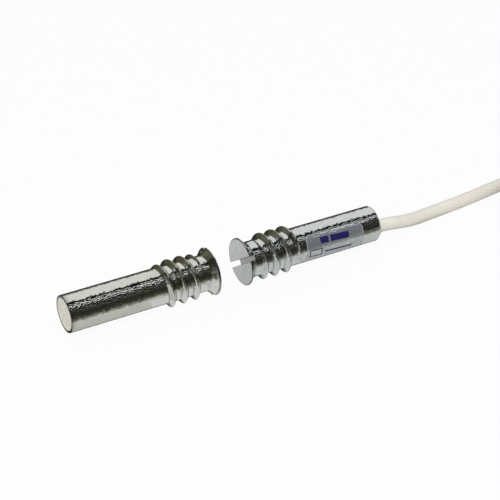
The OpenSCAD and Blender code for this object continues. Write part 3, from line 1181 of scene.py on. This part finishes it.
@dataclass
class CoilTies:
    """Two nylon bands drawn tight round the coil, each across its whole bundle of turns."""

    middle: Point = (96.0, -17.6, 0.0)
    angles: tuple[float, ...] = (135.0, 315.0)
    width: float = 3.0
    thickness: float = 0.5
    cable_r: float = 1.5
    steps: int = 72
    beside_max: float = 0.8
    across_max: float = 30.0

    def turns_at(self, line: Sequence[Vector], out: Vector) -> list[Vector]:
        """Where the turns cross a band's plane, as distance from the coil's axis and height.

        Args:
            line: The cable's centre line.
            out: The band's direction from the coil's middle.

        Returns:
            Pairs of distance and height.
        """
        found = []
        for point in line:
            off = point - Vector(self.middle)
            across = off.dot(out)
            beside = (off - out * across).xy.length
            if beside < self.beside_max and 0.0 < across < self.across_max:
                found.append(Vector((across, point.z)))
        return found

    def band(self, line: Sequence[Vector], degrees: float) -> Object:
        """Makes one band.

        Args:
            line: The cable's centre line.
            degrees: The band's direction from the coil's middle.

        Returns:
            The band.
        """
        angle = math.radians(degrees)
        out = Vector((math.cos(angle), math.sin(angle), 0.0))
        beside = Vector((-out.y, out.x, 0.0))
        turns = self.turns_at(line, out)
        inner, outer = self.cable_r, self.cable_r + self.thickness
        points: list[Vector] = []
        for k in range(self.steps):
            a = 2 * math.pi * k / self.steps
            way = Vector((math.cos(a), math.sin(a)))
            corner = max(turns, key=way.dot)
            for r, half in ((inner, -0.5), (outer, -0.5), (outer, 0.5), (inner, 0.5)):
                flat = corner + way * r
                base = Vector((self.middle[0], self.middle[1], flat.y))
                points.append(base + out * flat.x + beside * (self.width * half))
        return build_mesh("coil_band", points, grid_faces(self.steps, 4, ring=True, loop=True))

    def build(self, line: Sequence[Vector], finish: Material) -> Object:
        """Makes both bands as one piece.

        Args:
            line: The cable's centre line.
            finish: The bands' finish.

        Returns:
            The bands.
        """
        piece = join("coil_bands", [self.band(line, degrees) for degrees in self.angles])
        face_outwards(piece)
        smooth(piece)
        dress(piece, finish, Body.CONTACT)
        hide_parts("coil_ties")
        return piece


@dataclass
class LooseEnd:
    """The stripped end: four insulated cores that fan out on the floor, each with tinned strands."""

    end: Point = (62, -44.3, 1.5)
    core_r: float = 0.475
    length: float = 13.5
    strand_len: float = 4.0
    wire_r: float = 0.1
    wire_ring: float = 0.17
    lay_turns: float = 0.7
    spread: tuple[float, ...] = (-4.2, -1.4, 1.4, 4.2)
    colours: tuple[str, ...] = ("brown", "white", "green", "yellow")

    def route(self, i: int) -> list[Point]:
        """Where core number i lies, from the jacket's cut end to its own.

        Args:
            i: Number of the core.

        Returns:
            Points that the core passes through.
        """
        x, y, z = self.end
        low = i % 2 == 0
        reach = self.spread[i]
        rest = self.core_r + 0.04
        return [
            (x - 0.3, y + (i - 1.5) * 0.5, z + (-0.5 if low else 0.5)),
            (x - 2, y + (i - 1.5) * 0.7, z + (-0.7 if low else 0.1)),
            (x - self.length * 0.33, y + reach * 0.45, rest if low else rest + 0.3),
            (x - self.length * 0.55, y + reach * 0.75, rest),
            (x - self.length * 0.78, y + reach * 0.93, rest),
            (x - self.length, y + reach, rest),
        ]

    def build(self, finishes: dict[str, Material]) -> list[Object]:
        """Makes the four cores and the bare strands.

        Args:
            finishes: Slot name to its finish.

        Returns:
            The pieces made.
        """
        made = []
        strands: list[Object] = []
        for i, colour in enumerate(self.colours):
            slot = f"core_{colour}"
            points = spline(self.route(i), 0.4)
            core = tube(f"{colour}_core_end", points, self.core_r, 14, end_edge=0.04)
            smooth(core, 50)
            dress(core, finishes[slot], Body.CONTACT)
            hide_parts(f"{colour}_end")
            made.append(core)
            strands += self.strands(points[-1])
        bundle = join("tinned_wire_ends", strands)
        smooth(bundle, 60)
        dress(bundle, finishes["tinned_copper"], Body.CONTACT)
        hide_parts("tinned_strands")
        return made + [bundle]

    def strands(self, at: Vector) -> list[Object]:
        """Six wires twisted round a seventh, from the end of one core.

        Args:
            at: The core's cut end.

        Returns:
            The seven wires.
        """
        wires = []
        for k in range(7):
            off = 0.0 if k == 6 else self.wire_ring
            points = []
            for share in (s / 16 for s in range(17)):
                a = 2 * math.pi * (k / 6 + share * self.lay_turns)
                points.append(at + Vector((-self.strand_len * share, off * math.cos(a), off * math.sin(a))))
            wires.append(tube(f"wire_{k}", points, self.wire_r, 8))
        return wires


def across_row(low: float, high: float, places: Iterable[Pair]) -> list[list[Point]]:
    """Straight rails along the row, each at its own Y and Z, from one X to another."""
    return [[(low, y, z), (high, y, z)] for y, z in places]


def overhead(radius: float, degrees: Iterable[float]) -> list[list[Point]]:
    """Long rails along the row at angles above the front horizon."""
    turns = [math.radians(a) for a in degrees]
    return across_row(-FAR, FAR, [(-radius * math.cos(a), radius * math.sin(a)) for a in turns])


def round_wall(start: float, end: float, heights: Sequence[float]) -> list[list[Point]]:
    """Rails of an upright round wall, by its angles in degrees from the right towards the back."""
    turns = [math.radians(start + (end - start) * k / 16) for k in range(17)]
    return [[(WALL_R * math.cos(a), WALL_R * math.sin(a), h) for a in turns] for h in heights]


@dataclass
class Studio:
    """The pale floor, the soft light and the camera of the photograph."""

    azimuth: float = -29.47
    elevation: float = 31.37
    distance: float = 314.2
    target: Point = (5.99, 0.0, 7.49)
    focal_px: float = 1475.6
    frame_px: float = 500.0
    floor_m: float = 6.0
    floor_seen: float = 0.945
    floor_mirrored: float = 0.3
    floor_through: float = 0.88
    ambient: float = 0.6
    ceiling_r: float = 700.0
    lamp_r: float = 520.0
    lamp_half: float = 0.75

    def camera(self) -> None:
        """Places the camera where the photograph was taken from."""
        a, e = math.radians(self.azimuth), math.radians(self.elevation)
        back = Vector((math.sin(a) * math.cos(e), -math.cos(a) * math.cos(e), math.sin(e)))
        right = Vector((math.cos(a), math.sin(a), 0.0))
        up = back.cross(right)
        place = Vector(self.target) + back * self.distance
        data = bpy.data.cameras.new("photo_camera")
        data.sensor_width = 36.0
        data.lens = self.focal_px / self.frame_px * data.sensor_width
        data.clip_start = 0.005
        data.clip_end = 50.0
        camera = bpy.data.objects.new("photo_camera", data)
        turn = Matrix((right, up, back)).transposed().to_4x4()
        camera.matrix_world = Matrix.Translation(place * MM) @ turn
        bpy.context.scene.collection.objects.link(camera)
        bpy.context.scene.camera = camera

    def floor(self) -> None:
        """A plain pale floor that shows white, and keeps a little of the object's shadow."""
        half = self.floor_m / 2 / MM
        corners = [(-half, -half, 0), (half, -half, 0), (half, half, 0), (-half, half, 0)]
        piece = build_mesh("studio_floor", corners, [(0, 1, 2, 3)])
        material, tree, shader = new_material("white_paper_floor")
        paper = {"Base Color": hex_linear("#d9d9d8"), "Roughness": 0.9, "Specular IOR Level": 0.0}
        fill(tree, shader, paper)
        rays = add_node(tree, "ShaderNodeLightPath").outputs
        glow = add_math(tree, "MULTIPLY", rays["Is Camera Ray"], self.floor_seen)
        glow = add_math(tree, "MULTIPLY_ADD", rays["Is Glossy Ray"], self.floor_mirrored, glow)
        through = rays["Is Transmission Ray"]
        glow = add_math(tree, "MULTIPLY_ADD", through, self.floor_through, glow, clamp=True)
        white = add_node(tree, "ShaderNodeEmission", {"Color": WHITE, "Strength": 1.0}).outputs[0]
        mixed = add_node(tree, "ShaderNodeMixShader", {0: glow, 1: shader.outputs[0], 2: white})
        fill(tree, tree.nodes["Material Output"], {"Surface": mixed.outputs[0]})
        piece.data.materials.append(material)

    def world(self) -> None:
        """Even soft light from all round, white where it is seen, mirrored or looked through to."""
        world = bpy.data.worlds.new("white_studio")
        world.use_nodes = True
        tree = world.node_tree
        tree.nodes.clear()
        rays = add_node(tree, "ShaderNodeLightPath").outputs
        seen = add_math(tree, "MAXIMUM", rays["Is Camera Ray"], rays["Is Glossy Ray"])
        seen = add_math(tree, "MAXIMUM", seen, rays["Is Transmission Ray"])
        soft, white = (
            add_node(tree, "ShaderNodeBackground", {"Color": WHITE, "Strength": strength}).outputs[0]
            for strength in (self.ambient, 1.0)
        )
        mixed = add_node(tree, "ShaderNodeMixShader", {0: seen, 1: soft, 2: white})
        add_node(tree, "ShaderNodeOutputWorld", {0: mixed.outputs[0]})
        bpy.context.scene.world = world

    def lamp(self, name: str, place: Point, size: float, watts: float) -> None:
        """A square soft light that points at the object.

        Args:
            name: Name of the lamp.
            place: Its place in millimetres.
            size: Its side in millimetres.
            watts: Its power.
        """
        data = bpy.data.lights.new(name, "AREA")
        data.shape = "SQUARE"
        data.size = size * MM
        data.energy = watts
        lamp = bpy.data.objects.new(name, data)
        spot = Vector(place) * MM
        lamp.matrix_world = Matrix.Translation(spot) @ spot.to_track_quat("Z", "Y").to_matrix().to_4x4()
        lamp.visible_glossy = False
        bpy.context.scene.collection.objects.link(lamp)

    def card(self, name: str, rails: Sequence[Sequence[Point]], *tones: Any, gain: float = 1.0) -> None:
        """A studio card that only bright metal and glass show, as a photographer sets round them.

        Args:
            name: Name of the card.
            rails: Rows of points in millimetres, from its lower edge to its upper one.
            *tones: One hex colour, or pairs of the share of the way up and the colour there.
            gain: Brightness of the card.
        """
        rows, wide = len(rails), len(rails[0])
        piece = build_mesh(name, [p for rail in rails for p in rail], grid_faces(rows, wide))
        add_uv(piece, "card", [(k / (wide - 1), i / (rows - 1)) for i in range(rows) for k in range(wide)])
        material = bpy.data.materials.new(f"{name}_paper")
        material.use_nodes = True
        tree = material.node_tree
        tree.nodes.clear()
        stops = [(0.0, tones[0]), (1.0, tones[0])] if isinstance(tones[0], str) else tones
        colour = add_ramp(tree, add_chart(tree, "card")[1], stops)
        glow = add_node(tree, "ShaderNodeEmission", {"Color": colour, "Strength": gain})
        add_node(tree, "ShaderNodeOutputMaterial", {0: glow.outputs[0]})
        piece.data.materials.append(material)
        piece.visible_camera = False
        piece.visible_diffuse = False
        piece.visible_shadow = False
        piece.visible_transmission = False

    def front_cards(self) -> None:
        """The dark room behind the camera, paler on the floor near the object, and thin lamps."""
        ground = across_row(-FAR, FAR, [(y, 0.3) for y in (-13.0, -20.0, -32.0, -60.0, -700.0)])
        self.card(
            "dark_front_card",
            ground + overhead(self.ceiling_r, range(3, 97, 3)),
            (0.0, "#bcbdb7"), (0.028, "#86867e"), (0.056, "#58594f"), (0.083, "#45463b"),
            (0.185, "#383930"), (0.24, "#2c2d26"), (0.32, "#3e3e3b"), (0.42, "#26261f"),
            (0.514, "#1c1c18"), (0.611, "#1c1c1c"), (0.94, "#242427"), (1.0, "#303032"),
        )
        lamps = (
            ("high", 77.0, 2.0),
            ("middle", 67.0, 3.5),
            ("low", 56.0, 2.2),
            ("faint", 44.0, 0.5),
            ("last", 32.0, 0.35),
        )
        for name, angle, gain in lamps:
            rails = overhead(self.lamp_r, (angle - self.lamp_half, angle + self.lamp_half))
            self.card(f"{name}_strip_lamp", rails, "#ffffff", gain=gain)

    def side_cards(self) -> None:
        """The dim walls at both sides and at the back; the back one starts on the floor behind the object as
        painted shadow.
        """
        rise = (0.3, 200.0, 400.0, 600.0, 800.0)
        olive = ((0.0, "#6b6a58"), (0.16, "#55543f"), (0.34, "#7d7c6c"), (0.55, "#5a594a"), (1.0, "#8f8e7c"))
        self.card("olive_side_wall", round_wall(80, 165, rise), *olive)
        right = round_wall(-40, 50, (0.3, 110.0, 220.0, 330.0))
        self.card("dark_right_wall", right, (0.0, "#33332e"), (1.0, "#45463b"))
        left = round_wall(165, 225, rise)
        self.card("dark_side_wall", left, (0.0, "#8c8c88"), (0.3, "#3c3c33"), (1.0, "#26261f"))
        # The back card's foot lies on the floor behind the object: painted shadow there, rising into a dim
        # wall
        ground = [(16.5, 0.2), (60.0, 0.2), (WALL_R, 0.2)]
        back = across_row(-WALL_R, WALL_R, ground + [(WALL_R, z) for z in (60.0, 110.0, 190.0, 240.0)])
        dim = ((0.0, "#33332e"), (0.5, "#4c4c45"), (0.667, "#5c5c55"), (0.833, "#a0a09a"), (1.0, "#d8d8d4"))
        self.card("dim_back_shadow_strip", back, *dim)

    def floor_cards(self) -> None:
        """Strips on the floor beside each unit: painted shadow behind it and below it, and a pale strip of
        painted light before its thread.
        """
        # Painted shadow on the floor behind each unit, where its own shadow falls
        for name, low, high in (("magnet", -36.5, -9.0), ("contact", 9.0, 60.0)):
            rails = across_row(low, high, ((13.0, 0.25), (16.5, 0.25)))
            self.card(f"{name}_back_shadow_strip", rails, "#33332e")
        # Painted contact shadow on the floor beneath each unit, pale at its sides
        shade = ((0.0, "#c4c6c2"), (0.33, "#33332e"), (0.66, "#33332e"), (1.0, "#c4c6c2"))
        for name, low, high in (("magnet", -40.0, -7.0), ("contact", 5.0, 60.0)):
            rails = across_row(low, high, [(y, 0.2) for y in (-2.3, -1.1, 1.0, 2.2)])
            self.card(f"{name}_painted_contact_shadow", rails, *shade)
        # Painted light: pale strips that lift the floor's shade before each thread
        for name, low, high, tone in (("magnet", -18.0, -4.4, "#eef1f3"), ("contact", 4.0, 18.0, "#e4e7e6")):
            rails = across_row(low, high, ((-9.0, 0.22), (-2.4, 0.22)))
            self.card(f"{name}_painted_light_strip", rails, tone)

    def build(self) -> None:
        """Sets up the camera, the floor, the world, the cards and the lamp."""
        self.camera()
        self.floor()
        self.world()
        self.front_cards()
        self.side_cards()
        self.floor_cards()
        self.lamp("front_soft_light", (-200.0, -430.0, 690.0), 300.0, 3.2)
        bpy.context.scene.view_settings.view_transform = "Standard"


FINISHES: dict[str, Finish] = {
    # Bright nickel over the turned bodies, a little warmer on the magnet
    "nickel_plate": NickelPlate("bright_nickel_plate"),
    "nickel_plate_cool": NickelPlate("cool_nickel_plate", pale="#cacdcb", shade="#c1c5c2"),
    # Cast resin in the bores, and the soft sleeve and jacket of the cable
    "cream_resin": SoftPlastic("cast_cream_resin", "#eeecde", "#e7e5d6", 0.45),
    "cream_grommet": SoftPlastic("moulded_cream_sleeve", "#d4d3c2", "#cac9b8", 0.5),
    "cable_jacket": SoftPlastic(
        "extruded_pvc_jacket", "#ece8dd", "#e9e4d9", 0.42, skin_depth_mm=0.006, subsurface=0.1
    ),
    # The reed switch and what holds it
    "reed_glass": TubeGlass("reed_tube_glass"),
    "blade_metal": WhiteMetal("nickel_iron_blade", "#b5b4b0", "#a3a29e", 0.3),
    "carrier_plastic": SoftPlastic("moulded_nylon_carrier", "#d9d7cb", "#cfccbf", 0.5),
    "solder": WhiteMetal("tin_solder", "#c6c6c4", "#aeaeac", 0.28),
    "splice_sleeve": SoftPlastic("black_shrink_sleeve", "#26262a", "#1e1e21", 0.5),
    # PVC insulation of the four cores, and their tinned copper strands
    "core_brown": SoftPlastic("brown_pvc_core", "#6f452c", "#653d26", 0.35),
    "core_white": SoftPlastic("white_pvc_core", "#efeee9", "#e6e5df", 0.35),
    "core_green": SoftPlastic("green_pvc_core", "#2f8a4c", "#287d43", 0.35),
    "core_yellow": SoftPlastic("yellow_pvc_core", "#e8c22e", "#dcb524", 0.35),
    "tinned_copper": WhiteMetal("tinned_copper_wire", "#c9c6c0", "#b3b0aa", 0.25),
    # Nylon bands round the stored cable, and the cast magnet
    "tie_band": SoftPlastic("black_nylon_band", "#2a2a2d", "#222225", 0.45),
    "magnet_alloy": WhiteMetal("cast_magnet_alloy", "#8c8c8e", "#737376", 0.45),
}


def dress_nodes(frame: dict, finishes: dict[str, Material]) -> None:
    """Gives every node that stays shown the finish of its slot.

    Args:
        frame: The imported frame.
        finishes: Slot name to its finish.
    """
    slots = {row["node"]: row["material_slot"] for row in frame["record"]["subparts"]}
    for name, node in frame["nodes"].items():
        for slot in node.material_slots:
            slot.material = finishes[slots[name]]
    LOG.info("frame: %d nodes dressed", len(frame["nodes"]))


def main() -> None:
    """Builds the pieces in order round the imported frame."""
    logging.basicConfig(level=logging.INFO, format="%(message)s")
    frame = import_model()
    Studio().build()
    finishes = {slot: finish.build() for slot, finish in FINISHES.items()}
    dress_nodes(frame, finishes)
    contact = Placing(head_x=3.7, forward=1)
    magnet = Placing(head_x=-3.7, forward=-1)
    loose = LooseEnd().build(finishes)
    cable = Cable()
    ties = CoilTies().build(cable.line(), finishes["tie_band"])
    cable.build(finishes["cable_jacket"], loose + [ties])
    thread = ThreadNodes()
    Housing(
        "contact_body",
        "contact_housing",
        Body.CONTACT,
        contact,
        slot_turn=54,
        thread_turn=136,
        edge_r=0.4,
        relief=3.4,
    ).build(thread, finishes["nickel_plate_cool"])
    Housing(
        "magnet_body",
        "magnet_housing",
        Body.MAGNET,
        magnet,
        slot_turn=25,
        thread_turn=308,
        edge_r=0.1,
        relief=3.0,
    ).build(thread, finishes["nickel_plate"])
    plugs = Plugs(contact, magnet)
    plugs.magnet_plug(finishes["cream_resin"])
    plugs.grommet(finishes["cream_grommet"])
    LabelFilm(contact).build(ClearFilm("clear_printed_film").build())


if __name__ == "__main__":
    main()
